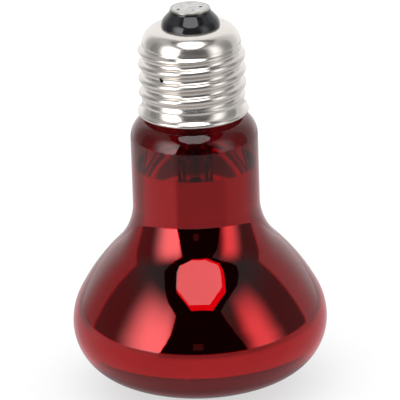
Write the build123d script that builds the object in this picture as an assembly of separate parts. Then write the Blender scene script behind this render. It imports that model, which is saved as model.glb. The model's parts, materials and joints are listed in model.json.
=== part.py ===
from build123d import *
import os
from math import acos, atan2, ceil, cos, degrees, radians, sin, sqrt, tan

# Red reflector heat lamp with a screw cap, standing on its domed face with the cap up.
# Millimetres, +Z up along the lamp's axis, origin where the face touches the table.

# Blown glass envelope, outer sizes
bulb_radius = 31.5
face_radius = 54.6
face_flat_radius = 5.5
bulb_rim_radius = 13.1
lower_body_radius = 15.7
lower_body_angle = 27.4
upper_body_radius = 51.1
neck_fillet = 15.7
neck_radius = 15.65
neck_length = 16.8
shoulder_radius = 6.0
collar_fillet = 2.5
glass_wall = 0.8

# Rolled sheet-metal screw shell, outer sizes
shell_wall = 0.3
thread_crest_radius = 13.1
thread_depth = 1.05
thread_pitch = 3.63
thread_length = 14.6
thread_fade = 1.6
thread_first_crest = 2.3
thread_first_crest_angle = 180.0
sections_per_turn = 12
cap_seat = 6.5
skirt_step = 0.35
skirt_flare = 1.0
skirt_height = 3.1
skirt_hollow = 0.25
bead_height = 0.8
bead_bulge = 0.15
dome_radius = 4.4
lip_radius = 7.2
collar_clearance = 0.75

# Punched hole in a groove of the thread, where the end of the side lead is jammed
hole_angle = 231.5
hole_groove = 1
hole_length = 1.2
hole_tilt = -43.0

# Black glass insulator, centre contact and solder, the cone's angle taken from the axis
insulator_depth = 3.2
insulator_foot_radius = 3.0
insulator_cone_angle = 42.0
insulator_fillet = 0.75
insulator_collar = 0.1
insulator_top_radius = 4.95
contact_radius = 4.85
contact_thickness = 0.4
eyelet_wall = 0.4
eyelet_clearance = 0.15
solder_radius = 4.5
solder_flat_radius = 3.4
solder_height = 0.15
solder_plug = 1.0
solder_cover = 0.3

# Cement between the glass collar and the shell
cement_edge = 0.7
cement_height = 6.0
cement_clearance = 0.1

# Glass stem: flare, tube, press and exhaust tube
seal_height = 8.0
stem_wall = 0.9
stem_length = 12.0
press_taper = 3.0
press_height = 7.0
press_thickness = 4.2
press_margin = 1.4
exhaust_radius = 1.7
exhaust_wall = 0.55
exhaust_socket = 2.0
exhaust_port_depth = 1.5
exhaust_rise = 4.0
exhaust_tip_height = 2.0
exhaust_tip_radius = 0.6

# Lead wires, supports and filament
lead_radius = 0.35
lead_clearance = 0.5
lead_bend = 1.0
lead_straight = 2.0
support_radius = 0.15
support_rise = 8.0
support_count = 3
support_socket = 1.0
arbor_radius = 1.2
arbor_socket = 2.5
button_radius = 1.9
filament_z = 33.0
filament_bow_radius = 8.0
filament_bow_angle = 240.0
filament_radius = 0.45
filament_tail = 1.2

# Radii of the screw shell, from the thread's crest
thread_root_radius = thread_crest_radius - thread_depth
thread_mid_radius = thread_crest_radius - thread_depth / 2
thread_swing = thread_depth / 2
skirt_top_radius = thread_root_radius + skirt_step
skirt_rim_radius = skirt_top_radius + skirt_flare
collar_radius = thread_root_radius - shell_wall - collar_clearance

# Centres, heights and angles of the glass outline, from the face upwards
rim_r = bulb_radius - bulb_rim_radius
face_z = sqrt(face_radius**2 - face_flat_radius**2)
rim_z = face_z - sqrt((face_radius - bulb_rim_radius) ** 2 - rim_r**2)
face_angle = degrees(atan2(rim_r, face_z - rim_z))
lower_body_r = bulb_radius - lower_body_radius
body_step = lower_body_radius - upper_body_radius
upper_body_r = lower_body_r + body_step * cos(radians(lower_body_angle))
upper_body_z = rim_z + body_step * sin(radians(lower_body_angle))
neck_fillet_r = neck_radius + neck_fillet
neck_reach = upper_body_radius + neck_fillet
neck_z = upper_body_z + sqrt(neck_reach**2 - (neck_fillet_r - upper_body_r) ** 2)
cone_angle = degrees(atan2(neck_z - upper_body_z, neck_fillet_r - upper_body_r))
shoulder_z = neck_z + neck_length
shoulder_reach = shoulder_radius + collar_fillet
shoulder_angle = degrees(acos(1 - (neck_radius - collar_radius) / shoulder_reach))
collar_z = shoulder_z + shoulder_reach * sin(radians(shoulder_angle))

# Heights of the cap, from the skirt's rim upwards
cap_z = shoulder_z + cap_seat
thread_z = cap_z + skirt_height
dome_z = thread_z + thread_length
lip_z = dome_z + dome_radius
insulator_z = lip_z - insulator_depth
hole_turns = (hole_angle - thread_first_crest_angle) / 360 + hole_groove + 0.5
hole_z = thread_z + thread_first_crest + thread_pitch * hole_turns

# Outline of the insulator from the lip upwards, then the contact and its eyelet
cone_turn = radians(insulator_cone_angle)
foot_r = lip_radius - insulator_foot_radius
foot_top_r = foot_r + insulator_foot_radius * cos(cone_turn)
foot_top_z = lip_z + insulator_foot_radius * sin(cone_turn)
fillet_r = insulator_top_radius + insulator_fillet
fillet_foot_r = fillet_r - insulator_fillet * cos(cone_turn)
fillet_foot_z = foot_top_z + (foot_top_r - fillet_foot_r) / tan(cone_turn)
fillet_z = fillet_foot_z + insulator_fillet * sin(cone_turn)
contact_z = fillet_z + insulator_collar
solder_z = contact_z + contact_thickness
eyelet_bore = lead_radius + eyelet_clearance
eyelet_radius = eyelet_bore + eyelet_wall

# Radii of the stem from the axis outwards, and its heights from the seal downwards
lead_offset = exhaust_radius + lead_clearance + lead_radius
tube_bore = lead_offset + lead_radius + lead_clearance
tube_radius = tube_bore + stem_wall
press_half_width = lead_offset + lead_radius + press_margin
exhaust_bore = exhaust_radius - exhaust_wall
flare_r = collar_radius - glass_wall
flare_radius = flare_r - tube_radius
seal_z = cap_z + seal_height
flare_z = seal_z - flare_radius
press_top_z = flare_z - stem_length
press_z = press_top_z - press_taper
press_bottom_z = press_z - press_height
exhaust_z = press_top_z - exhaust_socket
exhaust_shoulder_z = seal_z + exhaust_rise
exhaust_tip_z = exhaust_shoulder_z + exhaust_tip_height

# Where the filament's ends and supports stand, counted round the axis
button = Vector(0, 0, filament_z + support_rise)
bow_start = 90 - filament_bow_angle / 2
support_step = filament_bow_angle / (support_count + 1)


def turned(edges):
    """A solid of revolution about the lamp's axis, from a closed outline of radius and height."""
    return revolve(Plane.XZ * make_face(edges), Axis.Z)


def closed(edges):
    """An outline that starts on the axis, closed by a level line to the axis and the axis itself."""
    start = edges[0] @ 0
    end = edges[-1] @ 1
    return edges + [Line(end, (0, end.Y)), Line((0, end.Y), start)]


def upright(radius, low, high):
    """A round solid on the lamp's axis between two heights."""
    return Pos(0, 0, low) * extrude(Circle(radius), high - low)


def wire(path, radius):
    """A round wire along a path."""
    return sweep(Plane(path @ 0, z_dir=path % 0) * Circle(radius), path=path)


def eye(center, direction, hole, radius):
    """A ring of wire round what passes through it along the direction."""
    return Plane(center, z_dir=direction) * Torus(hole + radius, radius)


def bow_point(angle):
    """A point on the filament's bow."""
    turn = radians(angle)
    return Vector(filament_bow_radius * cos(turn), filament_bow_radius * sin(turn), filament_z)


def bow_direction(angle):
    """The filament's direction at that point."""
    return Vector(-sin(radians(angle)), cos(radians(angle)), 0)


def envelope(inset):
    """The blown glass as a full body, its outline of tangent arcs moved inwards by the inset."""
    upper_sweep = cone_angle - lower_body_angle
    upper_center = (upper_body_r, upper_body_z)
    shoulder_center = (neck_radius - shoulder_radius, shoulder_z)
    hollow_center = (collar_radius + collar_fillet, collar_z)
    neck_r = neck_radius - inset
    collar_r = collar_radius - inset
    face_r = face_radius - inset
    flat_r = sqrt(face_r**2 - (face_z - inset) ** 2)
    flat_angle = degrees(atan2(flat_r, face_z - inset))
    flat = Line((0, inset), (flat_r, inset))
    face = CenterArc((0, face_z), face_r, flat_angle - 90, face_angle - flat_angle)
    rim = CenterArc((rim_r, rim_z), bulb_rim_radius - inset, face_angle - 90, 90 - face_angle)
    lower = CenterArc((lower_body_r, rim_z), lower_body_radius - inset, 0, lower_body_angle)
    upper = CenterArc(upper_center, upper_body_radius - inset, lower_body_angle, upper_sweep)
    fillet = CenterArc((neck_fillet_r, neck_z), neck_fillet + inset, 180 + cone_angle, -cone_angle)
    neck = Line((neck_r, neck_z), (neck_r, shoulder_z))
    shoulder = CenterArc(shoulder_center, shoulder_radius - inset, 0, shoulder_angle)
    hollow = CenterArc(hollow_center, collar_fillet + inset, 180 + shoulder_angle, -shoulder_angle)
    collar = Line((collar_r, collar_z), (collar_r, seal_z))
    return turned(closed([flat, face, rim, lower, upper, fillet, neck, shoulder, hollow, collar]))


def skirt_body(inset):
    """The cap's skirt as a full body: a rounded bead at the rim, then a flare that narrows to the thread."""
    rim = skirt_rim_radius - inset
    bead_z = cap_z + bead_height
    floor = Line((0, cap_z), (rim, cap_z))
    bead = ThreePointArc((rim, cap_z), (rim + bead_bulge, cap_z + bead_height / 2), (rim, bead_z))
    flare = SagittaArc((rim, bead_z), (skirt_top_radius - inset, thread_z), skirt_hollow)
    return turned(closed([floor, bead, flare]))


def smooth_ramp(share):
    """A ramp from 0 to 1 that starts and ends level."""
    held = min(max(share, 0), 1)
    return held * held * (3 - 2 * held)


def thread_body(inset):
    """The rolled thread as a full body: each level is a circle whose centre walks round the axis.

    The centre's swing fades at both ends, where the thread runs out into the skirt and the shoulder.
    """
    steps = ceil(thread_length / thread_pitch * sections_per_turn)
    levels = []
    for step in range(steps + 1):
        rise = thread_length * step / steps
        fade_in = smooth_ramp(rise / thread_fade)
        fade_out = smooth_ramp((thread_length - rise) / thread_fade)
        low_step = (skirt_top_radius - thread_mid_radius) * (1 - fade_in)
        high_step = (thread_root_radius - thread_mid_radius) * (1 - fade_out)
        radius = thread_mid_radius + low_step + high_step - inset
        swing = thread_swing * fade_in * fade_out
        turn = radians(thread_first_crest_angle + 360 * (rise - thread_first_crest) / thread_pitch)
        levels.append(Pos(swing * cos(turn), swing * sin(turn), thread_z + rise) * Circle(radius))
    return loft(levels, ruled=True)


def dome_body(inset):
    """The cap's rounded shoulder as a full body, up to its flat top."""
    center = (thread_root_radius - dome_radius, dome_z)
    floor = Line((0, dome_z), (thread_root_radius - inset, dome_z))
    return turned(closed([floor, CenterArc(center, dome_radius - inset, 0, 90)]))


def sheet(body):
    """The rolled sheet of one part of the cap: its body less the same body one wall further in."""
    return body(0) - body(shell_wall)


def punched_hole():
    """The slanted slot through the shell, in a groove of the thread."""
    turn = radians(hole_angle)
    outward = Vector(cos(turn), sin(turn), 0)
    along = Vector(-sin(turn), cos(turn), 0)
    slot = Rot(0, 0, hole_tilt) * SlotOverall(hole_length, 2 * lead_radius)
    return extrude(Plane((0, 0, hole_z), x_dir=along, z_dir=outward) * slot, thread_crest_radius)


def make_screw_shell():
    """Skirt, thread and shoulder in one sheet, open at the lip and punched in a groove."""
    thread = sheet(thread_body) - punched_hole()
    shoulder = sheet(dome_body) - upright(lip_radius, dome_z, lip_z)
    return sheet(skirt_body) + thread + shoulder


def make_cap_insulator():
    """Black glass that fills the shoulder from inside and stands out of the lip as a round-footed cone."""
    plug = split(dome_body(shell_wall), Plane.XY.offset(insulator_z), keep=Keep.TOP)
    floor = Line((0, lip_z), (lip_radius, lip_z))
    foot = CenterArc((foot_r, lip_z), insulator_foot_radius, 0, insulator_cone_angle)
    cone = Line((foot_top_r, foot_top_z), (fillet_foot_r, fillet_foot_z))
    fillet_start = 180 + insulator_cone_angle
    fillet = CenterArc((fillet_r, fillet_z), insulator_fillet, fillet_start, -insulator_cone_angle)
    collar = Line((insulator_top_radius, fillet_z), (insulator_top_radius, contact_z))
    stand = turned(closed([floor, foot, cone, fillet, collar]))
    glass = plug + upright(lip_radius, insulator_z, lip_z) + stand
    return glass - upright(eyelet_radius, insulator_z, contact_z)


def make_contact_plate():
    """A disc on the insulator with an eyelet down through it."""
    plate = upright(contact_radius, contact_z, solder_z)
    eyelet = upright(eyelet_radius, insulator_z, contact_z)
    return plate + eyelet - upright(eyelet_bore, insulator_z, solder_z)


def make_contact_solder(lead):
    """A low mound with a worn flat top, which plugs the eyelet round the end of the lead."""
    top_z = solder_z + solder_height
    flat = Line((0, top_z), (solder_flat_radius, top_z))
    side = TangentArc((solder_flat_radius, top_z), (solder_radius, solder_z), tangent=(1, 0))
    mound = turned(closed([flat, side]))
    return mound + upright(eyelet_bore, solder_z - solder_plug, solder_z) - lead


def make_basing_cement():
    """Cement in the skirt and up the collar, shaped by the glass inside and the shell outside."""
    edge_z = cap_z + cement_edge
    collar_room = thread_root_radius - shell_wall - cement_clearance
    skirt_fill = split(skirt_body(shell_wall), Plane.XY.offset(edge_z), keep=Keep.TOP)
    collar_fill = upright(collar_room, thread_z, cap_z + cement_height)
    return skirt_fill + collar_fill - envelope(0)


def make_glass_stem(leads):
    """Flare and tube turned as one, pinched to a flat press that holds the leads."""
    outline = [
        Line((collar_radius, seal_z), (flare_r, seal_z)),
        CenterArc((flare_r, flare_z), flare_radius, 90, 90),
        Line((tube_radius, flare_z), (tube_radius, press_top_z)),
        Line((tube_radius, press_top_z), (tube_bore, press_top_z)),
        Line((tube_bore, press_top_z), (tube_bore, flare_z)),
        CenterArc((flare_r, flare_z), flare_radius + stem_wall, 180, -90),
        Line((flare_r, seal_z + stem_wall), (collar_radius, seal_z + stem_wall)),
        Line((collar_radius, seal_z + stem_wall), (collar_radius, seal_z)),
    ]
    pinch = Ellipse(press_half_width, press_thickness / 2)
    taper = loft([Pos(0, 0, press_z) * pinch, Pos(0, 0, press_top_z) * Circle(tube_radius)])
    press = Pos(0, 0, press_bottom_z) * extrude(pinch, press_height)
    port_z = exhaust_z - exhaust_port_depth
    port = upright(exhaust_bore, port_z, exhaust_z)
    port += extrude(Plane((0, 0, port_z), z_dir=(0, -1, 0)) * Circle(exhaust_bore), press_half_width)
    stem = turned(outline) + taper + press - port
    stem -= upright(exhaust_radius, exhaust_z, press_top_z)
    stem -= upright(arbor_radius, press_bottom_z, press_bottom_z + arbor_socket)
    return stem - leads


def make_exhaust_tube():
    """A tube that stands in the press and is melted shut at its tip inside the cap."""
    outline = Polyline(
        (exhaust_bore, exhaust_z),
        (exhaust_radius, exhaust_z),
        (exhaust_radius, exhaust_shoulder_z),
        (exhaust_tip_radius, exhaust_tip_z),
        (0, exhaust_tip_z),
        (0, exhaust_tip_z - exhaust_wall),
        (exhaust_bore, exhaust_shoulder_z),
        close=True,
    )
    return turned(outline.edges())


def make_lead(side, bow_angle, upper_points):
    """A lead wire: a ring on the filament's end, a slant to the press, then up through the stem."""
    end = bow_point(bow_angle)
    hold = end + Vector(0, 0, filament_radius + lead_radius)
    points = [
        hold,
        hold + Vector(0, 0, lead_straight),
        (side * lead_offset, 0, press_bottom_z - lead_straight),
        *upper_points,
    ]
    run = wire(FilletPolyline(*points, radius=lead_bend), lead_radius)
    return run + eye(end, bow_direction(bow_angle), filament_radius, lead_radius)


def make_centre_lead():
    """The lead that bends over the exhaust tube's tip and ends in the solder of the contact."""
    bend_z = exhaust_tip_z + lead_clearance + lead_radius
    top_z = solder_z + solder_height - solder_cover
    upper = [(lead_offset, 0, bend_z), (0, 0, bend_z + lead_offset), (0, 0, top_z)]
    return make_lead(1, bow_start, upper)


def make_side_lead():
    """The lead that bends out to the punched hole and ends flush with the bottom of the groove."""
    outward = Vector(cos(radians(hole_angle)), sin(radians(hole_angle)), 0)
    level = Vector(0, 0, hole_z)
    turn_in = level + outward * (collar_radius - lead_straight)
    groove_end = level + outward * thread_root_radius
    upper = [(-lead_offset, 0, hole_z), turn_in, groove_end]
    return make_lead(-1, bow_start + filament_bow_angle, upper)


def make_support(bow_angle):
    """A thin wire from the button to a ring on the filament."""
    end = bow_point(bow_angle)
    reach = (end - button).normalized()
    root = button + reach * (button_radius - support_socket)
    run = Line(root, end - reach * (filament_radius + support_radius))
    return wire(run, support_radius) + eye(end, bow_direction(bow_angle), filament_radius, support_radius)


def make_glass_arbor(supports):
    """A glass rod under the press with a button at its end, where the supports are set."""
    shank = upright(arbor_radius, button.Z, press_bottom_z + arbor_socket)
    return shank + Pos(button) * Sphere(button_radius) - supports


def make_filament():
    """The filament's bow, as thick as its coil, with a tail past the ring of each lead."""
    tail = degrees(filament_tail / filament_bow_radius)
    bow = CenterArc((0, 0, filament_z), filament_bow_radius, bow_start - tail, filament_bow_angle + 2 * tail)
    return wire(bow, filament_radius)


centre_lead = make_centre_lead()
side_lead = make_side_lead()
supports = [make_support(bow_start + support_step * (number + 1)) for number in range(support_count)]

nodes = {
    "glass_bulb": envelope(0) - envelope(glass_wall),
    "screw_shell": make_screw_shell(),
    "cap_insulator": make_cap_insulator(),
    "contact_plate": make_contact_plate(),
    "contact_solder": make_contact_solder(centre_lead),
    "basing_cement": make_basing_cement(),
    "glass_stem": make_glass_stem([centre_lead, side_lead]),
    "exhaust_tube": make_exhaust_tube(),
    "glass_arbor": make_glass_arbor(supports),
    "centre_lead": centre_lead,
    "side_lead": side_lead,
    "filament": make_filament(),
}
for number, support in enumerate(supports):
    nodes[f"support_wire_{number + 1}"] = support

os.makedirs("parts", exist_ok=True)
for name, solid in nodes.items():
    export_step(solid, f"parts/{name}.step")
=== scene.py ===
# %% [markdown]
# # A red reflector heat lamp
#
# The lamp stands on its domed face with its screw cap up. Its glass is red all through, its body is a
# mirror that lies behind that glass, and its neck and face are clear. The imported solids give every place
# and size. This lesson dresses them: smooth surfaces worked out with numpy, finishes made of shader
# nodes, and a studio whose lights and dark flags show in the glass and the metal.

# %% Load the fixed frame
import json
from math import acos, asin, atan2, cos, degrees, pi, radians, sin, sqrt, tan

import bpy
import numpy as np
from mathutils import Matrix, Vector

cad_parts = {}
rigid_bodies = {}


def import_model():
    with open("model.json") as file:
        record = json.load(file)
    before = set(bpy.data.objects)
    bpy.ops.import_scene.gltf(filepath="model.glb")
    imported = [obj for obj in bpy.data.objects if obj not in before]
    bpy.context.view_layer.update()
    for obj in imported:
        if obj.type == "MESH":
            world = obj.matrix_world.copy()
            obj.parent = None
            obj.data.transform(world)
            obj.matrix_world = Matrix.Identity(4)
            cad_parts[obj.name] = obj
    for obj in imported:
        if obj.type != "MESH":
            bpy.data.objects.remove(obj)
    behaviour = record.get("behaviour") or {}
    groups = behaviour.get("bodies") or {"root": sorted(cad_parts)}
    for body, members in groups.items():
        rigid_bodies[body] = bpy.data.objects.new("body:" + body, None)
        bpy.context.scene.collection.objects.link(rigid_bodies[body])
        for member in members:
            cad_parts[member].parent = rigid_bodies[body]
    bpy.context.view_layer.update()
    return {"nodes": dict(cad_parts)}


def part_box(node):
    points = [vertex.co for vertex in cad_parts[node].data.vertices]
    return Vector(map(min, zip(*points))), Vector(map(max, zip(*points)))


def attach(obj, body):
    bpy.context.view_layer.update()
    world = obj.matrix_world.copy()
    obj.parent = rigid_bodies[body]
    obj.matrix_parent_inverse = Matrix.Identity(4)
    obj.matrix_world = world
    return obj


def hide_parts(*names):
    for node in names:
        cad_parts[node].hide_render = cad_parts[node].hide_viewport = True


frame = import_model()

MM = 0.001
nodes_at_rest = frame["nodes"]
print("nodes in the frame:", len(nodes_at_rest))


def node_heights(name):
    """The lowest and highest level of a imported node, in millimetres."""
    low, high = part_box(name)
    return low.z / MM, high.z / MM


def node_radius(name):
    """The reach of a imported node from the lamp's axis along X, in millimetres."""
    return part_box(name)[1].x / MM


# %% [markdown]
# ## Surfaces from whole arrays
#
# A lamp is nearly all turned shapes. Each could be a Screw modifier on a drawn outline, but an array
# keeps the true arcs and lets every wall have its own fineness. An outline is a list of radius and
# height, a lathe turns it into a grid of points, and one function makes the mesh. All shapes are in
# millimetres until that function.

# %% Outlines


def arc(center, radius, start, stop, count):
    """Points on a circle in the plane of radius and height, between two angles in degrees."""
    angle = np.radians(np.linspace(start, stop, count))
    return np.stack([center[0] + radius * np.cos(angle), center[1] + radius * np.sin(angle)], axis=1)


def line(start, stop, count=2):
    """Evenly spaced points from one place to another."""
    return np.linspace(start, stop, count)


def chain(*runs):
    """Runs joined end to end, with each shared point kept once."""
    return np.concatenate([runs[0]] + [run[1:] for run in runs[1:]])


def bulged(start, stop, bulge, count):
    """A curve between two points that stands out by the bulge at its middle, to the right of its way.

    The offset is four times the bulge times share times one less share: a parabola, close to an arc.
    """
    share = np.linspace(0, 1, count)[:, None]
    start, stop = np.array(start), np.array(stop)
    along = stop - start
    across = np.array([along[1], -along[0]]) / np.hypot(*along)
    return start + share * along + 4 * bulge * share * (1 - share) * across


# %% Lathe and skins


def lathe(outline, columns):
    """The outline turned about the axis: x = r cos t, y = r sin t, z = height, a grid row for each point."""
    turn = np.linspace(0, 2 * pi, columns, endpoint=False)
    radius = outline[:, :1]
    height = np.broadcast_to(outline[:, 1:], (len(outline), columns))
    return np.stack([radius * np.cos(turn), radius * np.sin(turn), height], axis=2)


def grid_faces(rows, columns, rows_meet=False):
    """Corner numbers of the faces of a grid whose columns meet, and whose last row may meet its first."""
    row = np.arange(rows if rows_meet else rows - 1)[:, None]
    column = np.arange(columns)[None, :]
    next_row = (row + 1) % rows
    next_column = (column + 1) % columns
    corners = [row * columns + column, row * columns + next_column,
               next_row * columns + next_column, next_row * columns + column]
    return np.stack(corners, axis=2).reshape(-1, 4)


def ring_skin(grid):
    """A grid that is closed both ways, such as a turned ring."""
    return grid.reshape(-1, 3), grid_faces(grid.shape[0], grid.shape[1], True), np.empty((0, 3), int)


def poled_skin(grid):
    """A grid that starts and ends in one point, with a fan of triangles round each."""
    body = grid[1:-1]
    rows, columns = body.shape[:2]
    points = np.concatenate([body.reshape(-1, 3), grid[:1, 0], grid[-1:, 0]])
    column = np.arange(columns)
    next_column = (column + 1) % columns
    top = (rows - 1) * columns
    first = np.stack([np.full(columns, rows * columns), next_column, column], axis=1)
    last = np.stack([top + column, top + next_column, np.full(columns, rows * columns + 1)], axis=1)
    return points, grid_faces(rows, columns), np.concatenate([first, last])


# %% Mesh objects
SHARP_ANGLE = radians(35)


def add_piece(name, skin):
    """A smooth mesh object at the origin from points in millimetres, four-sided faces and triangles."""
    points, quads, triangles = skin
    sizes = np.concatenate([np.full(len(quads), 4), np.full(len(triangles), 3)])
    corners = np.concatenate([quads.ravel(), triangles.ravel()])
    mesh = bpy.data.meshes.new(name)
    mesh.vertices.add(len(points))
    mesh.vertices.foreach_set("co", (points * MM).astype(np.float32).ravel())
    mesh.loops.add(len(corners))
    mesh.loops.foreach_set("vertex_index", corners.astype(np.int32))
    mesh.polygons.add(len(sizes))
    mesh.polygons.foreach_set("loop_start", (np.cumsum(sizes) - sizes).astype(np.int32))
    mesh.update(calc_edges=True)
    mesh.validate()
    mesh.shade_smooth()
    mesh.set_sharp_from_angle(angle=SHARP_ANGLE)
    piece = bpy.data.objects.new(name, mesh)
    bpy.context.scene.collection.objects.link(piece)
    print(f"{name}: {int((sizes - 2).sum())} triangles")
    return piece


def dress(piece, slot, *nodes):
    """A finished piece rides on the lamp and stands for the nodes it replaces. The slot is not used."""
    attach(piece, "root")
    if nodes:
        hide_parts(*nodes)
    return piece


# %% [markdown]
# ## The glass envelope
#
# The real one is blown into a mould from a red tube: a shallow domed face, a full round rim, a body that
# sweeps in to a straight neck, and a shoulder that closes to the collar inside the cap. Seen from the
# side it is a chain of tangent arcs. The wall matters here, because glass shows one reflection on its
# outer face and a second from whatever lies behind, so both faces are made, and the inner one is the
# same chain moved inwards.

# %% Glass outline
face_radius = 54.6
face_flat_radius = 5.5
bulb_rim_radius = 13.1
lower_body_radius = 15.7
lower_body_angle = 27.4
upper_body_radius = 51.1
neck_fillet = 15.7
neck_radius = 15.65
neck_length = 16.8
shoulder_radius = 6.0
collar_fillet = 2.5
collar_radius = 11.0
glass_wall = 0.8
glass_columns = 200

bulb_radius = node_radius("glass_bulb")
seal_z = node_heights("glass_bulb")[1]
rim_r = bulb_radius - bulb_rim_radius
face_z = sqrt(face_radius**2 - face_flat_radius**2)
rim_z = face_z - sqrt((face_radius - bulb_rim_radius) ** 2 - rim_r**2)
face_angle = degrees(atan2(rim_r, face_z - rim_z))
lower_body_r = bulb_radius - lower_body_radius
body_step = lower_body_radius - upper_body_radius
upper_body_r = lower_body_r + body_step * cos(radians(lower_body_angle))
upper_body_z = rim_z + body_step * sin(radians(lower_body_angle))
neck_fillet_r = neck_radius + neck_fillet
neck_z = upper_body_z + sqrt((upper_body_radius + neck_fillet) ** 2 - (neck_fillet_r - upper_body_r) ** 2)
cone_angle = degrees(atan2(neck_z - upper_body_z, neck_fillet_r - upper_body_r))
shoulder_z = neck_z + neck_length
collar_fillet_r = collar_radius + collar_fillet
shoulder_reach = shoulder_radius + collar_fillet
shoulder_angle = degrees(acos(1 - (neck_radius - collar_radius) / shoulder_reach))
collar_z = shoulder_z + shoulder_reach * sin(radians(shoulder_angle))


def glass_outline(inset):
    """The envelope's chain of arcs from the axis to the collar's edge, moved inwards by the inset."""
    face_r = face_radius - inset
    flat_r = sqrt(face_r**2 - (face_z - inset) ** 2)
    flat_angle = degrees(atan2(flat_r, face_z - inset))
    neck_r = neck_radius - inset
    collar_r = collar_radius - inset
    return chain(
        line((0, inset), (flat_r, inset), 4),
        arc((0, face_z), face_r, flat_angle - 90, face_angle - 90, 30),
        arc((rim_r, rim_z), bulb_rim_radius - inset, face_angle - 90, 0, 44),
        arc((lower_body_r, rim_z), lower_body_radius - inset, 0, lower_body_angle, 26),
        arc((upper_body_r, upper_body_z), upper_body_radius - inset, lower_body_angle, cone_angle, 26),
        arc((neck_fillet_r, neck_z), neck_fillet + inset, 180 + cone_angle, 180, 36),
        line((neck_r, neck_z), (neck_r, shoulder_z), 14),
        arc((neck_radius - shoulder_radius, shoulder_z), shoulder_radius - inset, 0, shoulder_angle, 28),
        arc((collar_fillet_r, collar_z), collar_fillet + inset, 180 + shoulder_angle, 180, 16),
        line((collar_r, collar_z), (collar_r, seal_z), 4),
    )


outer_wall = glass_outline(0)
inner_wall = glass_outline(glass_wall)
both_walls = np.concatenate([outer_wall, inner_wall[::-1]])
envelope = add_piece("glass_envelope", poled_skin(lathe(both_walls, glass_columns)))
dress(envelope, "red_glass", "glass_bulb")

# %% [markdown]
# ## The mirror behind the glass
#
# Before the lamp is closed, aluminium is boiled off inside it and settles on the inner wall, from the
# edge of the face up into the neck. It is far too thin to be a solid, so the frame has none. Here it is
# a shell of a few hundredths of a millimetre that follows the inner wall, so that it mirrors both the
# room outside, through the red glass, and the filament inside.

# %% Mirror coat
coat_low = 13.3
coat_high = 58.4
coat_gap = 0.02
coat_thickness = 0.02
coat_rows = 180


def coat_face(inset):
    """The part of the inner wall between the coat's two edges, at even steps along the wall."""
    wall = glass_outline(inset)
    travel = np.concatenate([[0], np.cumsum(np.hypot(*np.diff(wall, axis=0).T))])
    edges = np.interp([coat_low, coat_high], wall[:, 1], travel)
    steps = np.linspace(edges[0], edges[1], coat_rows)
    return np.stack([np.interp(steps, travel, wall[:, 0]), np.interp(steps, travel, wall[:, 1])], axis=1)


coat_outer = coat_face(glass_wall + coat_gap)
coat_inner = coat_face(glass_wall + coat_gap + coat_thickness)
coat_faces = np.concatenate([coat_outer, coat_inner[::-1]])
coat = add_piece("mirror_coat", ring_skin(lathe(coat_faces, glass_columns)))
dress(coat, "mirror_coat")

# %% [markdown]
# ## The rolled screw shell
#
# The cap is one cup of thin brass sheet. Its thread isn't cut: rollers press it, so the inside follows
# the outside. It could be a drawn profile swept along a helix, but then its ends stop dead. Here the
# radius is a wave of equal arcs that climbs one pitch for every turn, and it fades in above the skirt
# and out below the shoulder, as the rollers leave it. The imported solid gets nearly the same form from
# circles that walk round the axis. The whole wall is one grid: up the outside, over the lip and down the
# inside, with a punched slot for the side lead.

# %% Screw shell levels
shell_wall = 0.3
thread_crest_radius = 13.1
thread_depth = 1.05
thread_pitch = 3.63
thread_length = 14.6
thread_fade = 1.6
thread_first_crest = 2.3
thread_first_crest_angle = 180.0
skirt_step = 0.35
skirt_flare = 1.0
skirt_height = 3.1
skirt_hollow = 0.25
bead_height = 0.8
bead_bulge = 0.15
dome_radius = 4.4
lip_radius = 7.2
shell_columns = 216
thread_rows = 146

cap_z, lip_z = node_heights("screw_shell")
thread_z = cap_z + skirt_height
dome_z = thread_z + thread_length
thread_root_radius = thread_crest_radius - thread_depth
thread_mid_radius = thread_crest_radius - thread_depth / 2
thread_swing = thread_depth / 2
skirt_top_radius = thread_root_radius + skirt_step
skirt_rim_radius = skirt_top_radius + skirt_flare
dome_center = (thread_root_radius - dome_radius, dome_z)
print(f"cap from {cap_z:.2f} to {lip_z:.2f} mm, thread from {thread_z:.2f} to {dome_z:.2f} mm")

# %% Thread, skirt and shoulder


def smooth_ramp(share):
    """A ramp from 0 to 1 that starts and ends level: three squares less two cubes."""
    held = np.clip(share, 0, 1)
    return held * held * (3 - 2 * held)


def thread_wave(offset):
    """A wave from 1 at a crest to -1 in a groove, made of equal arcs that meet half way down the flank.

    An arc's radius is half its height plus the square of its half width over twice its height.
    """
    quarter = thread_pitch / 4
    arc_radius = (thread_swing**2 + quarter**2) / (2 * thread_swing)
    from_crest = np.abs((offset + 2 * quarter) % thread_pitch - 2 * quarter)
    from_summit = np.minimum(from_crest, 2 * quarter - from_crest)
    drop = arc_radius - np.sqrt(arc_radius**2 - from_summit**2)
    return np.where(from_crest < quarter, 1, -1) * (1 - drop / thread_swing)


def thread_surface(turn, height, inset):
    """A point of the thread: its radius is a wave that climbs one pitch for every turn.

    Radius and swing both ramp at the two ends, so that the thread runs out into the skirt and the shoulder.
    """
    rise = height - thread_z
    fade_in = smooth_ramp(rise / thread_fade)
    fade_out = smooth_ramp((thread_length - rise) / thread_fade)
    low_step = (skirt_top_radius - thread_mid_radius) * (1 - fade_in)
    high_step = (thread_root_radius - thread_mid_radius) * (1 - fade_out)
    climb = thread_pitch * (turn - radians(thread_first_crest_angle)) / (2 * pi)
    wave = thread_swing * fade_in * fade_out * thread_wave(rise - thread_first_crest - climb)
    radius = thread_mid_radius + low_step + high_step + wave - inset
    level = np.broadcast_to(height, radius.shape)
    return np.stack([radius * np.cos(turn), radius * np.sin(turn), level], axis=-1)


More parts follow.
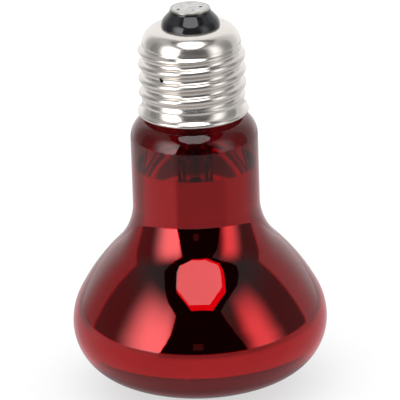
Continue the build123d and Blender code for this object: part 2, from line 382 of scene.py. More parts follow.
def skirt_outline(inset):
    """The skirt's rounded bead at the rim, then the hollow flare up to the thread."""
    rim = skirt_rim_radius - inset
    bead_top = (rim, cap_z + bead_height)
    bead = bulged((rim, cap_z), bead_top, bead_bulge, 10)
    return chain(bead, bulged(bead_top, (skirt_top_radius - inset, thread_z), -skirt_hollow, 16))


def dome_outline(inset):
    """The rounded shoulder from the thread to the lip."""
    top = (dome_center[0], lip_z - inset)
    return chain(arc(dome_center, dome_radius - inset, 0, 90, 26), line(top, (lip_radius, lip_z - inset)))


# %% Punched slot
hole_angle = radians(231.5)
hole_groove = 1
hole_length = 1.3
hole_width = 0.9
hole_tilt = radians(-43)
window_columns = 4
window_rows = 12
window_rings = 6

hole_turns = (hole_angle - radians(thread_first_crest_angle)) / (2 * pi) + hole_groove + 0.5
hole_z = thread_z + thread_first_crest + thread_pitch * hole_turns
shell_turn = hole_angle + np.linspace(-pi, pi, shell_columns, endpoint=False)
thread_levels = np.linspace(thread_z, dome_z, thread_rows)


def wall_grid(inset):
    """One face of the sheet from the rim to the lip: turned skirt, screw thread and turned shoulder."""
    ring = np.stack([np.cos(shell_turn), np.sin(shell_turn)], axis=1)
    grids = []
    for outline in (skirt_outline(inset)[:-1], dome_outline(inset)[1:]):
        heights = np.broadcast_to(outline[:, 1:, None], (len(outline), shell_columns, 1))
        grids.append(np.concatenate([outline[:, :1, None] * ring, heights], axis=2))
    thread = thread_surface(shell_turn[None, :], thread_levels[:, None], inset)
    return np.concatenate([grids[0], thread, grids[1]])


def slot_reach(direction):
    """How far the slot's edge is from its centre: the flat side, or the round end beyond it."""
    half_run = (hole_length - hole_width) / 2
    half_width = hole_width / 2
    slant = np.abs(np.sin(direction - hole_tilt))
    level = np.abs(np.cos(direction - hole_tilt))
    round_end = half_run * level + np.sqrt(np.maximum(half_width**2 - (half_run * slant) ** 2, 0))
    flat_side = half_width / np.maximum(slant, 1e-9)
    return np.where(half_width * level < half_run * slant, flat_side, round_end)


def window_path():
    """Column and row offsets round the slot's window, counter-clockwise seen from outside."""
    across = np.arange(-window_columns, window_columns)
    upward = np.arange(-window_rows, window_rows)
    bottom = np.stack([across, np.full(len(across), -window_rows)], axis=1)
    right = np.stack([np.full(len(upward), window_columns), upward], axis=1)
    return np.concatenate([bottom, right, -bottom, -right])


# %% Shell mesh


def shell_skin():
    """The sheet's two faces as one closed grid, with the slot's window cut out of both and filled by rings.

    The rings lie at equal shares of the way from the window's square path to the slot's edge, and the last
    ones of the two faces are joined by the slot's own wall.
    """
    outer = wall_grid(0)
    inner = wall_grid(shell_wall)[::-1]
    grid = np.concatenate([outer, inner])
    rows, columns = grid.shape[:2]
    middle = columns // 2
    low_row = len(skirt_outline(0)) - 1
    hole_row = low_row + int(np.argmin(np.abs(thread_levels - hole_z)))
    quads = grid_faces(rows, columns, True)
    face_row, face_column = np.divmod(np.arange(len(quads)), columns)
    beside = (face_column >= middle - window_columns) & (face_column < middle + window_columns)
    mirrored_row = rows - 2 - face_row
    within_outer = (face_row >= hole_row - window_rows) & (face_row < hole_row + window_rows)
    within_inner = (mirrored_row >= hole_row - window_rows) & (mirrored_row < hole_row + window_rows)
    quads = quads[~(beside & (within_outer | within_inner))]

    path = window_path()
    path_column = middle + path[:, 0]
    path_row = hole_row + path[:, 1]
    turn = shell_turn[path_column]
    height = thread_levels[path_row - low_row]
    across = thread_root_radius * (turn - hole_angle)
    upward = height - hole_z
    direction = np.arctan2(upward, across)
    reach = slot_reach(direction)
    share = np.linspace(0, 1, window_rings + 1)[1:, None]
    ring_turn = turn + share * (hole_angle + reach * np.cos(direction) / thread_root_radius - turn)
    ring_height = height + share * (hole_z + reach * np.sin(direction) - height)
    outer_rings = thread_surface(ring_turn, ring_height, 0)
    inner_rings = thread_surface(ring_turn, ring_height, shell_wall)
    funnel = np.concatenate([outer_rings, inner_rings[::-1]])

    start = len(grid.reshape(-1, 3))
    count = len(path)
    numbers = start + np.arange(len(funnel) * count).reshape(len(funnel), count)
    outer_edge = path_row * columns + path_column
    inner_edge = (rows - 1 - path_row) * columns + path_column
    lines = np.concatenate([outer_edge[None], numbers, inner_edge[None]])
    ahead = np.roll(lines, -1, axis=1)
    strips = np.stack([lines[:-1], ahead[:-1], ahead[1:], lines[1:]], axis=2).reshape(-1, 4)
    points = np.concatenate([grid.reshape(-1, 3), funnel.reshape(-1, 3)])
    return points, np.concatenate([quads, strips]), np.empty((0, 3), int)


shell = add_piece("screw_cap_shell", shell_skin())
dress(shell, "nickel_plate", "screw_shell")

# %% [markdown]
# ## Insulator, contact and solder
#
# Black glass is poured into the cap's end and pressed into a low cone with a round foot. A small tinned
# disc is set on it, and the centre lead is soldered through its eyelet. The cone and the disc are turned
# shapes with softened edges. The solder is a puddle that has frozen and been rubbed nearly flat, so its
# height is a low mound with seeded lumps and a few pits.

# %% Insulator and contact plate
insulator_foot_radius = 3.0
insulator_cone_angle = 42.0
insulator_fillet = 0.75
insulator_top_radius = 4.95
contact_radius = 4.85
contact_round = 0.12
eyelet_radius = 0.9
eyelet_bore = 0.5
turned_columns = 128

insulator_z, contact_z = node_heights("cap_insulator")
plate_top_z = node_heights("contact_plate")[1]
plug_radius = dome_radius - shell_wall
plug_angle = degrees(asin((insulator_z - dome_z) / plug_radius))
plug_foot_r = dome_center[0] + plug_radius * cos(radians(plug_angle))
foot_center = (lip_radius - insulator_foot_radius, lip_z)
cone_turn = radians(insulator_cone_angle)
foot_top_r = foot_center[0] + insulator_foot_radius * cos(cone_turn)
foot_top_z = lip_z + insulator_foot_radius * sin(cone_turn)
fillet_r = insulator_top_radius + insulator_fillet
fillet_foot_r = fillet_r - insulator_fillet * cos(cone_turn)
fillet_foot_z = foot_top_z + (foot_top_r - fillet_foot_r) / tan(cone_turn)
fillet_z = fillet_foot_z + insulator_fillet * sin(cone_turn)

insulator_outline = chain(
    line((eyelet_radius, insulator_z), (plug_foot_r, insulator_z)),
    arc(dome_center, plug_radius, plug_angle, 90, 20),
    line((dome_center[0], lip_z - shell_wall), (lip_radius, lip_z - shell_wall)),
    line((lip_radius, lip_z - shell_wall), (lip_radius, lip_z), 4),
    arc(foot_center, insulator_foot_radius, 0, insulator_cone_angle, 16),
    line((foot_top_r, foot_top_z), (fillet_foot_r, fillet_foot_z), 6),
    arc((fillet_r, fillet_z), insulator_fillet, 180 + insulator_cone_angle, 180, 10),
    line((insulator_top_radius, fillet_z), (insulator_top_radius, contact_z), 3),
    line((insulator_top_radius, contact_z), (eyelet_radius, contact_z), 4),
)
insulator = add_piece("black_glass_insulator", ring_skin(lathe(insulator_outline, turned_columns)))
dress(insulator, "black_glass", "cap_insulator")

plate_edge = contact_radius - contact_round
plate_outline = chain(
    line((eyelet_bore, insulator_z), (eyelet_radius, insulator_z)),
    line((eyelet_radius, insulator_z), (eyelet_radius, contact_z), 4),
    line((eyelet_radius, contact_z), (contact_radius, contact_z), 6),
    line((contact_radius, contact_z), (contact_radius, plate_top_z - contact_round), 4),
    arc((plate_edge, plate_top_z - contact_round), contact_round, 0, 90, 6),
    line((plate_edge, plate_top_z), (eyelet_bore, plate_top_z), 6),
)
plate = add_piece("contact_disc", ring_skin(lathe(plate_outline, turned_columns)))
dress(plate, "tinned_brass", "contact_plate")

# %% Solder mound
solder_radius = 4.5
solder_edge = 0.9
solder_wander = 0.15
solder_rings = 90
lump_count = 40
lump_width = (0.3, 0.9)
lump_height = 0.08
pit_places = ((2.5, 0.3), (0.6, -2.0), (-2.9, -1.1))
pit_width = 0.3
pit_depth = 0.2

solder_top_z = node_heights("contact_solder")[1]


def solder_skin(seed):
    """A frozen puddle: level in the middle, falling to its edge as a quarter ellipse, with lumps and pits.

    Each lump or pit is a bell of its own width, and the edge wanders in and out by three slow waves.
    """
    draw = np.random.default_rng(seed)
    turn = np.linspace(0, 2 * pi, turned_columns, endpoint=False)
    share = np.sqrt(np.linspace(0, 1, solder_rings))[:, None]
    waves = [draw.uniform(0.3, 1) * np.sin(order * turn + draw.uniform(0, 2 * pi)) for order in (2, 3, 5)]
    edge = solder_radius - solder_wander + solder_wander * np.sum(waves, axis=0) / len(waves)
    radius = share * edge
    x, y = radius * np.cos(turn), radius * np.sin(turn)
    inward = np.clip((edge - radius) / solder_edge, 0, 1)
    mound = np.sqrt(1 - (1 - inward) ** 2)
    places = draw.uniform(-solder_radius, solder_radius, (lump_count, 2))
    widths = draw.uniform(*lump_width, lump_count)
    heights = draw.uniform(-lump_height, lump_height, lump_count)
    places = np.concatenate([places, pit_places])
    widths = np.concatenate([widths, np.full(len(pit_places), pit_width)])
    heights = np.concatenate([heights, np.full(len(pit_places), -pit_depth)])
    gap = (x[..., None] - places[:, 0]) ** 2 + (y[..., None] - places[:, 1]) ** 2
    bells = (heights * np.exp(-gap / (2 * widths**2))).sum(axis=-1)
    thickness = solder_top_z - plate_top_z
    z = plate_top_z + mound * np.clip(thickness - lump_height + bells, 0, thickness)
    top = np.stack([x, y, z], axis=2)[::-1]
    bottom = np.stack([0 * x[:1], 0 * y[:1], np.full_like(x[:1], plate_top_z)], axis=2)
    return poled_skin(np.concatenate([bottom, top]))


solder = add_piece("contact_solder_drop", solder_skin(seed=7))
dress(solder, "tin_solder", "contact_solder")

# %% [markdown]
# ## The filament's coil
#
# The solid in the frame is a plain bow as thick as the coil. The real filament is a wire of a few
# hundredths of a millimetre wound on a thin rod, then hung between the leads. A tube along a helix along
# an arc gives it: the helix turns about the bow, and the tube's ring is set across the helix at every
# step.

# %% Filament coil
filament_z = 33.0
filament_bow_radius = 8.0
filament_bow_angle = radians(240)
filament_radius = 0.45
filament_tail = 1.2
coil_wire_radius = 0.09
coil_pitch = 0.32
coil_steps_per_turn = 18
coil_sides = 6


def coil_skin():
    """A round wire wound about the bow: the bow's point plus the coil's radius along a turning spoke."""
    half = filament_bow_angle / 2 + filament_tail / filament_bow_radius
    turns = 2 * half * filament_bow_radius / coil_pitch
    bow = pi / 2 + np.linspace(-half, half, int(turns * coil_steps_per_turn))
    wind = np.linspace(0, 2 * pi * turns, len(bow))
    outward = np.stack([np.cos(bow), np.sin(bow), 0 * bow], axis=1)
    upward = np.array([0, 0, 1.0])
    spoke = np.cos(wind)[:, None] * outward + np.sin(wind)[:, None] * upward
    winding_radius = filament_radius - coil_wire_radius
    path = filament_bow_radius * outward + filament_z * upward + winding_radius * spoke
    along = np.gradient(path, axis=0)
    along /= np.linalg.norm(along, axis=1, keepdims=True)
    side = np.cross(along, spoke)
    around = np.linspace(0, 2 * pi, coil_sides, endpoint=False)[None, :, None]
    section = np.cos(around) * spoke[:, None] + np.sin(around) * side[:, None]
    rings = path[:, None] + coil_wire_radius * section
    ends = np.broadcast_to(path[[0, -1], None], (2, coil_sides, 3))
    return poled_skin(np.concatenate([ends[:1], rings, ends[1:]]))


filament = add_piece("filament_coil", coil_skin())
dress(filament, "tungsten", "filament")

# %% [markdown]
# ## Finishes
#
# Every finish is a small node tree around one Principled shader. Object coordinates are in metres and
# fixed to the lamp, so a noise of scale 100 has lumps of about a centimetre. What is the same all over
# is set on the shader itself, and only what varies, such as tint, gloss or relief, comes through nodes.

# %% Node helpers


def add_node(tree, kind, inputs=None, **settings):
    """A node with its settings and its inputs, each a value or another node's output."""
    made = tree.nodes.new(kind)
    for name, value in settings.items():
        setattr(made, name, value)
    for socket, value in (inputs or {}).items():
        if isinstance(value, bpy.types.NodeSocket):
            tree.links.new(value, made.inputs[socket])
        else:
            made.inputs[socket].default_value = value
    return made


def new_finish(name, values):
    """A material whose Principled shader has these constant values."""
    finish = bpy.data.materials.new(name)
    finish.use_nodes = True
    shader = finish.node_tree.nodes["Principled BSDF"]
    for socket, value in values.items():
        shader.inputs[socket].default_value = value
    return finish, finish.node_tree, shader


def noise(tree, scale, detail=3.0, stretch=(1, 1, 1)):
    """Noise on Object coordinates, stretched along the axes, with its lumps in 1/scale metres."""
    place = add_node(tree, "ShaderNodeTexCoord").outputs["Object"]
    mapped = add_node(tree, "ShaderNodeMapping", {"Vector": place, "Scale": stretch}).outputs["Vector"]
    made = add_node(tree, "ShaderNodeTexNoise", {"Vector": mapped, "Scale": scale, "Detail": detail})
    return made.outputs["Fac"]


def spread(tree, factor, low, high):
    """A noise factor spread over a range of values."""
    inputs = {"Value": factor, "From Min": 0.3, "From Max": 0.7, "To Min": low, "To Max": high}
    return add_node(tree, "ShaderNodeMapRange", inputs).outputs["Result"]


def blend_colours(tree, factor, first, second):
    """A colour between two, by a factor. Each is three values or another node's output."""
    made = add_node(tree, "ShaderNodeMix", {"Factor": factor}, data_type="RGBA")
    for socket, colour in ((made.inputs["A"], first), (made.inputs["B"], second)):
        if isinstance(colour, bpy.types.NodeSocket):
            tree.links.new(colour, socket)
        else:
            socket.default_value = (*colour, 1)
    return made.outputs["Result"]


def ramp(tree, value, start, stop, low, high):
    """A smooth change from one value to another as the input goes from start to stop."""
    inputs = {"Value": value, "From Min": start, "From Max": stop, "To Min": low, "To Max": high}
    made = add_node(tree, "ShaderNodeMapRange", inputs, interpolation_type="SMOOTHSTEP")
    return made.outputs["Result"]


def relief(tree, factor, height):
    """A bump from a factor, with its height in metres."""
    made = add_node(tree, "ShaderNodeBump", {"Height": factor, "Distance": height, "Strength": 1.0})
    return made.outputs["Normal"]


# %% [markdown]
# ### Red glass and its mirror
#
# The glass is coloured through, so it tints what passes and not what it reflects. The shader takes the
# tint once for two crossings, so one wall is one full tint, and light that goes in to the mirror and out
# again gets it twice. Under the cap its tint goes over to a darker brown, which is painted shade. Blown
# glass is never quite even: a faint slow relief makes straight reflections waver a little.

# %% Red glass and mirror finishes
# heights in millimetres over which painted shade under the cap darkens the glass's tint
cap_shade_heights = (57.0, 64.0)


def red_glass():
    """Deep red clear glass, with painted shade under the cap that makes it browner and darker.

    The tint has slight streaks and the surface a slow waver.
    """
    values = {"Transmission Weight": 1.0, "Roughness": 0.0, "IOR": 1.42}
    finish, tree, shader = new_finish("red_glass", values)
    streak = noise(tree, 60, stretch=(1, 1, 0.25))
    open_tint = blend_colours(tree, streak, (0.58, 0.006, 0.03), (0.64, 0.01, 0.04))
    place = add_node(tree, "ShaderNodeTexCoord").outputs["Object"]
    height = add_node(tree, "ShaderNodeSeparateXYZ", {"Vector": place}).outputs["Z"]
    # painted shade: the tint goes over to a darker brown under the cap
    cap_shade = ramp(tree, height, cap_shade_heights[0] * MM, cap_shade_heights[1] * MM, 0.0, 1.0)
    tint = blend_colours(tree, cap_shade, open_tint, (0.40, 0.08, 0.09))
    tree.links.new(tint, shader.inputs["Base Color"])
    tree.links.new(relief(tree, noise(tree, 45, 1.0), 0.00003), shader.inputs["Normal"])
    return finish


def mirror_metal():
    """Bright aluminium with a very slight haze."""
    finish, tree, shader = new_finish("mirror_coat", {"Base Color": (0.92, 0.92, 0.93, 1), "Metallic": 1.0})
    tree.links.new(spread(tree, noise(tree, 250), 0.0, 0.05), shader.inputs["Roughness"])
    return finish


envelope.data.materials.append(red_glass())
coat.data.materials.append(mirror_metal())
print("glass and mirror:", envelope.data.materials[0].name, coat.data.materials[0].name)

# %% [markdown]
# ### Metals, black glass and the pieces inside
#
# Nickel plate on rolled brass keeps fine lines round the cap from the rollers, so its gloss and relief
# come from noise that is stretched flat. Solder is duller and blotched. The inner pieces are plain, but
# each still has the grain of its own stuff: heat-browned powdery cement, drawn wire, slightly smoky stem
# glass. The slot in the cap is a dark recess, so the end of the side lead that fills it is painted black
# for about two millimetres as painted shade.

# %% Nickel and black glass


def rolled_nickel():
    """Bright plate, a little dulled, with fine lines round the cap."""
    finish, tree, shader = new_finish("nickel_plate", {"Metallic": 0.9})
    lines = noise(tree, 900, 4.0, (0.06, 0.06, 4))
    blotch = noise(tree, 220, 4.0)
    tint = blend_colours(tree, blotch, (0.76, 0.715, 0.675), (0.67, 0.63, 0.59))
    tree.links.new(tint, shader.inputs["Base Color"])
    tree.links.new(spread(tree, lines, 0.14, 0.24), shader.inputs["Roughness"])
    tree.links.new(relief(tree, lines, 0.000004), shader.inputs["Normal"])
    return finish


def pressed_black_glass():
    """Opaque black glass, glossy, with a faint waver from the press."""
    finish, tree, shader = new_finish("black_glass", {"Base Color": (0.012, 0.012, 0.014, 1), "IOR": 1.47})
    tree.links.new(spread(tree, noise(tree, 500), 0.04, 0.14), shader.inputs["Roughness"])
    tree.links.new(relief(tree, noise(tree, 260, 2.0), 0.00002), shader.inputs["Normal"])
    return finish


# %% Dull metals and the lead with painted shade
# painted shade of the slot on the lead's end: full black to none over this reach in millimetres
slot_shade_reach = (1.5, 2.5)
LEAD_LOOK = ((0.74, 0.69, 0.62), (0.62, 0.55, 0.46), (0.2, 0.35), 800, 0.000005)


def dull_metal(name, bright, dark, gloss, grain, height):
    """A metal whose tint and gloss change from spot to spot, with a fine grain."""
    finish, tree, shader = new_finish(name, {"Metallic": 1.0})
    spot = noise(tree, grain, 5.0)
    tree.links.new(blend_colours(tree, spot, bright, dark), shader.inputs["Base Color"])
    tree.links.new(spread(tree, spot, *gloss), shader.inputs["Roughness"])
    tree.links.new(relief(tree, noise(tree, 3 * grain), height), shader.inputs["Normal"])
    return finish


def lead_with_painted_shade():
    """Lead wire painted black near the place where its end is jammed into the cap's slot: painted shade of
    the slot.
    """
    finish = dull_metal("lead_with_painted_shade", *LEAD_LOOK)
    tree = finish.node_tree
    shader = tree.nodes["Principled BSDF"]
    bright = shader.inputs["Base Color"].links[0].from_socket
    place = add_node(tree, "ShaderNodeTexCoord").outputs["Object"]
    hole = np.array([cos(hole_angle), sin(hole_angle), 0]) * thread_root_radius + [0, 0, hole_z]
    away = add_node(tree, "ShaderNodeVectorMath", {0: place, 1: (hole * MM).tolist()}, operation="DISTANCE")
    # painted shade: the lead is black near the slot, because the slot's recess is dark
    unshaded = ramp(tree, away.outputs["Value"], slot_shade_reach[0] * MM, slot_shade_reach[1] * MM, 0.0, 1.0)
    tree.links.new(blend_colours(tree, unshaded, (0.006, 0.006, 0.006), bright), shader.inputs["Base Color"])
    return finish


# %% Stem glass and cement


def clear_glass():
    """Drawn glass of the stem, slightly smoky, with a faint waver."""
    values = {"Transmission Weight": 1.0, "Roughness": 0.0, "IOR": 1.5}
    finish, tree, shader = new_finish("clear_glass", values)
    tint = blend_colours(tree, noise(tree, 120), (0.58, 0.60, 0.60), (0.66, 0.68, 0.68))
    tree.links.new(tint, shader.inputs["Base Color"])
    tree.links.new(relief(tree, noise(tree, 200, 1.0), 0.00002), shader.inputs["Normal"])
    return finish


def cement():
    """Powdery cement, browned by heat and pitted."""
    finish, tree, shader = new_finish("cement", {"Roughness": 0.9})
    grain = noise(tree, 700, 6.0)
    tint = blend_colours(tree, grain, (0.30, 0.26, 0.21), (0.42, 0.38, 0.32))
    tree.links.new(tint, shader.inputs["Base Color"])
    tree.links.new(relief(tree, grain, 0.00015), shader.inputs["Normal"])
    return finish


# %% Finishes of the cap, the coil and the inside
shell.data.materials.append(rolled_nickel())
insulator.data.materials.append(pressed_black_glass())
tinned = dull_metal("tinned_brass", (0.50, 0.47, 0.43), (0.36, 0.33, 0.30), (0.18, 0.32), 600, 0.00001)
plate.data.materials.append(tinned)
frozen = dull_metal("tin_solder", (0.76, 0.75, 0.73), (0.40, 0.39, 0.38), (0.25, 0.45), 700, 0.00003)
solder.data.materials.append(frozen)
coiled = dull_metal("tungsten", (0.34, 0.34, 0.36), (0.22, 0.22, 0.24), (0.3, 0.5), 900, 0.000005)
filament.data.materials.append(coiled)

drawn = dull_metal("molybdenum", (0.46, 0.46, 0.48), (0.36, 0.36, 0.38), (0.25, 0.4), 900, 0.000005)
inner_finishes = {
    clear_glass(): ("glass_stem", "exhaust_tube", "glass_arbor"),
    dull_metal("lead_wire", *LEAD_LOOK): ("centre_lead",),
    lead_with_painted_shade(): ("side_lead",),
    drawn: ("support_wire_1", "support_wire_2", "support_wire_3"),
    cement(): ("basing_cement",),
}
for finish, names in inner_finishes.items():
    for name in names:
        mesh = nodes_at_rest[name].data
        mesh.materials.clear()
        mesh.materials.append(finish)
print("finishes:", len(bpy.data.materials))

# %% [markdown]
# ## The studio
#
# A mirror shows its room, so the room is part of the look. The lamp stands on a pale table. In front of
# it a black flag hides the camera, a soft box stands at each side of the flag and an eight-sided one
# hangs above, and behind it is a grey backdrop. None of these is seen by the camera, lights matt things
# or casts a shadow: each is a glowing card that only reflected and refracted rays can find, and a plain
# white world does the lighting.
#
# Most cards come in pairs. One is seen by the reflection on a surface, which gives the glass its pale
# sheen and the cap its look, and the other by rays that come out through the red glass after they have
# met the mirror. With two levels for each light, sheen and deep red can be set apart. A real room has
# one level for both, so this is a studio trick, and it stays in the studio: the lamp's own finishes know
# nothing of it.

# %% Card helpers
SURFACE = "visible_glossy"
DEPTH = "visible_transmission"
card_columns = 32


def add_card(name, points, faces, finish, seen_by=(SURFACE, DEPTH)):
    """A card of the studio, in metres, that only rays from a surface, or from within glass, can see."""
    mesh = bpy.data.meshes.new(name)
    mesh.from_pydata(points, [], faces)
    mesh.materials.append(finish)
    card = bpy.data.objects.new(name, mesh)
    bpy.context.scene.collection.objects.link(card)
    card.visible_camera = False
    card.visible_diffuse = False
    card.visible_shadow = False
    card.visible_glossy = SURFACE in seen_by
    card.visible_transmission = DEPTH in seen_by
    return card


def add_wall(name, start, stop, distance, height, finish, seen_by):
    """An upright wall that curves round the lamp between two azimuths, 0 in front and more to the right."""
    turn = np.radians(np.linspace(start, stop, card_columns))
    foot = np.stack([distance * np.sin(turn), -distance * np.cos(turn), 0 * turn], axis=1)
    number = np.arange(card_columns - 1)
    faces = np.stack([number, number + 1, card_columns + number + 1, card_columns + number], axis=1)
    points = np.concatenate([foot, foot + [0, 0, height]])
    return add_card(name, points.tolist(), faces.tolist(), finish, seen_by)


def add_flag(name, levels, distance, finish):
    """A curved flag in front of the lamp: at each height it spans from one azimuth to another."""
    share = np.linspace(0, 1, card_columns)
    height, left, right = np.array(levels).T[:, :, None]
    turn = np.radians(left + share * (right - left))
    points = np.stack([distance * np.sin(turn), -distance * np.cos(turn), height + 0 * turn], axis=2)
    row, column = np.divmod(np.arange((len(levels) - 1) * (card_columns - 1)), card_columns - 1)
    first = row * card_columns + column
    above = first + card_columns
    faces = np.stack([first, first + 1, above + 1, above], axis=1)
    return add_card(name, points.reshape(-1, 3).tolist(), faces.tolist(), finish)


def overhead_card(name, corners, drop, finish, seen_by=(SURFACE, DEPTH)):
    """A flat card that hangs above the lamp's front, square to the line from the lamp to its middle.

    Corners are places to the right and up along the card, and the drop moves it towards the lamp.
    """
    outward = np.array([0, -cos(overhead_tilt), sin(overhead_tilt)])
    along = np.array([0, sin(overhead_tilt), cos(overhead_tilt)])
    middle = np.array([0, 0, overhead_height]) + (overhead_distance - drop) * outward
    points = [(middle + across * np.array([1, 0, 0]) + rise * along).tolist() for across, rise in corners]
    return add_card(name, points, [tuple(range(len(points)))], finish, seen_by)


def octagon(center, half_width):
    """The corners of an octagon that stands on one side."""
    turn = np.radians(np.arange(22.5, 360, 45))
    reach = half_width / cos(pi / 8)
    return [(center[0] + reach * cos(angle), center[1] + reach * sin(angle)) for angle in turn]


def glow(name, strength):
    """A finish that shines evenly, with the node of its light."""
    finish = bpy.data.materials.new(name)
    finish.use_nodes = True
    tree = finish.node_tree
    tree.nodes.clear()
    light = add_node(tree, "ShaderNodeEmission", {"Color": (1, 1, 1, 1), "Strength": strength})
    add_node(tree, "ShaderNodeOutputMaterial", {"Surface": light.outputs["Emission"]})
    finish.cycles.emission_sampling = "NONE"
    return finish, tree, light


def combine(tree, operation, *values):
    """Several values combined by one operation."""
    total = values[0]
    for value in values[1:]:
        total = add_node(tree, "ShaderNodeMath", {0: total, 1: value}, operation=operation).outputs["Value"]
    return total


# %% [markdown]
# ### Walls, backdrop and flag
#
# The walls stand in a ring round the lamp, so that a place on them is an azimuth and a height. A soft
# box could be an area light, but a lit card with soft edges shows in a mirror as a real one does:
# brightest in the middle and fading to its sides. The flag's edges are cut to the dark shape that the
# mirror shows.

# %% Dim walls with their soft boxes
wall_distance = 0.36
wall_height = 1.1
wall_left, wall_right = -108, 106
box_top = (0.19, 0.47)
box_lean = radians(10)
box_middle = 0.2
rest_turn = (-0.3, 0.3)
left_edges = (-84, -48, -36, -20)
right_edges = (35, 52, 56, 81)
surface_wall = {"left": 4.4, "right": 1.4, "left_rest": 0.18, "right_rest": 0.22, "top": 0.5}
depth_wall = {"left": 2.4, "right": 1.9, "left_rest": 0.19, "right_rest": 0.13, "top": 0.03}


def azimuth_and_height(tree):
    """The azimuth of a place, 0 at the front and positive to the right, and its height."""
    place = add_node(tree, "ShaderNodeTexCoord").outputs["Object"]
    axes = add_node(tree, "ShaderNodeSeparateXYZ", {"Vector": place}).outputs
    front = combine(tree, "MULTIPLY", axes["Y"], -1.0)
    return combine(tree, "ARCTAN2", axes["X"], front), axes["Z"]


def wall_glow(name, levels):
    """A dim wall with two soft boxes, each a smooth window of azimuth, dark above their top."""
    finish, tree, light = glow(name, 1.0)
    azimuth, height = azimuth_and_height(tree)
    lean = combine(tree, "MULTIPLY", combine(tree, "SUBTRACT", height, box_middle), box_lean)
    leaning = combine(tree, "ADD", azimuth, lean)
    parts = [ramp(tree, azimuth, *rest_turn, levels["left_rest"], levels["right_rest"])]
    for edges, strength in ((left_edges, levels["left"]), (right_edges, levels["right"])):
        low, low_end, high_start, high = np.radians(edges)
        rise = ramp(tree, leaning, low, low_end, 0.0, strength)
        fall = ramp(tree, leaning, high_start, high, 1.0, 0.0)
        parts.append(combine(tree, "MULTIPLY", rise, fall))
    boxes = combine(tree, "MULTIPLY", combine(tree, "ADD", *parts), ramp(tree, height, *box_top, 1.0, 0.0))
    strength = combine(tree, "ADD", boxes, ramp(tree, height, *box_top, 0.0, levels["top"]))
    tree.links.new(strength, light.inputs["Strength"])
    return finish


for name, levels, rays in (("surface_wall", surface_wall, SURFACE), ("depth_wall", depth_wall, DEPTH)):
    add_wall(name, wall_left, wall_right, wall_distance, wall_height, wall_glow(name, levels), (rays,))

# %% Grey backdrop
back_edges = (wall_right, 360 + wall_left)
back_fade = (0.216, 0.324)
surface_back = (0.7, 1.1, 0.4)
depth_back = (0.5, 0.36, 0.55)


def back_glow(name, right, middle, left):
    """A backdrop with one level straight behind the lamp and one at each of its two ends."""
    finish, tree, light = glow(name, 1.0)
    place = add_node(tree, "ShaderNodeTexCoord").outputs["Object"]
    across = add_node(tree, "ShaderNodeSeparateXYZ", {"Vector": place}).outputs["X"]
    to_right = ramp(tree, across, *back_fade, middle, right)
    to_left = ramp(tree, across, -back_fade[1], -back_fade[0], left - middle, 0.0)
    tree.links.new(combine(tree, "ADD", to_right, to_left), light.inputs["Strength"])
    return finish


for name, levels, rays in (("surface_back", surface_back, SURFACE), ("depth_back", depth_back, DEPTH)):
    add_wall(name, *back_edges, wall_distance, wall_height, back_glow(name, *levels), (rays,))

# %% Black flag and overhead soft box
card_gap = 0.002
flag_distance = 0.357
flag_glow = 0.012
spot_glow = 0.09
flag_levels = ((0, -35.5, 40), (0.101, -31, 36), (0.231, -28.5, 32),
               (0.282, -27.5, 27.5), (0.332, -27, 24.5), (0.38, -24, 22))
overhead_tilt = radians(55)
overhead_distance = 0.35
overhead_height = 0.04
surface_octa = {"corners": octagon((-0.001, 0.072), 0.131), "strength": 3.6}
depth_octa = {"corners": octagon((0.012, 0.065), 0.143), "strength": 2.0}
housing_corners = ((-0.130, -0.100), (0.108, -0.085), (0.165, -0.022), (0.240, 0.060), (0.267, 0.126),
                   (0.275, 0.3), (-0.222, 0.3), (-0.222, 0.115), (-0.207, 0.037), (-0.189, -0.020))
spot_levels = ((0.05, -7, 2), (0.12, -7, 2))

black = glow("black_flag", flag_glow)[0]
add_flag("black_flag", flag_levels, flag_distance, black)
add_flag("camera_spot", spot_levels, flag_distance - card_gap, glow("camera_spot", spot_glow)[0])
overhead_card("overhead_housing", housing_corners, 0.0, black)
for name, box, rays in (("surface_octa", surface_octa, SURFACE), ("depth_octa", depth_octa, DEPTH)):
    overhead_card(name, box["corners"], card_gap, glow(name, box["strength"])[0], (rays,))

# %% [markdown]
# ### Table, light and world
#
# The table close to the lamp lies in its shade, and farther off it is dim in front of the flag. Glowing
# discs stand for that, again one for the surface and one for the glass. The table itself is plain and
# pale, with part of its white shown to the camera alone, so the shadow on it stays but is light.

# %% Shaded table
apron_fade = (0.09, 0.15)
apron_under = (0.026, 0.036)
apron_outer = 0.36
apron_height = -0.00002
apron_columns = 96
apron_turns = {"back_left": np.radians((-120, -100)), "left": np.radians((-40, -30)),
               "right": np.radians((45, 60)), "back_right": np.radians((100, 120))}
surface_table = {"under": 0.35, "near": 0.62, "left": 0.75, "middle": 0.45, "right": 0.55, "back": 0.7}
depth_table = {"under": 0.2, "near": 0.92, "left": 0.8, "middle": 0.5, "right": 0.62, "back": 0.38}


def apron_glow(name, levels):
    """The table as the glass sees it: in shade under the lamp, pale near it, dim in front of the flag."""
    finish, tree, light = glow(name, 1.0)
    place = add_node(tree, "ShaderNodeTexCoord").outputs["Object"]
    reach = add_node(tree, "ShaderNodeVectorMath", {0: place}, operation="LENGTH").outputs["Value"]
    azimuth = azimuth_and_height(tree)[0]
    back_left = ramp(tree, azimuth, *apron_turns["back_left"], levels["back"], levels["left"])
    left = ramp(tree, azimuth, *apron_turns["left"], 0.0, levels["middle"] - levels["left"])
    right = ramp(tree, azimuth, *apron_turns["right"], 0.0, levels["right"] - levels["middle"])
    back_right = ramp(tree, azimuth, *apron_turns["back_right"], 0.0, levels["back"] - levels["right"])
    far = combine(tree, "ADD", back_left, left, right, back_right)
    nearness = ramp(tree, reach, *apron_fade, 1.0, 0.0)
    rest = combine(tree, "SUBTRACT", levels["near"], far)
    open_table = combine(tree, "ADD", far, combine(tree, "MULTIPLY", nearness, rest))
    shade = ramp(tree, reach, *apron_under, levels["under"] / levels["near"], 1.0)
    tree.links.new(combine(tree, "MULTIPLY", open_table, shade), light.inputs["Strength"])
    return finish


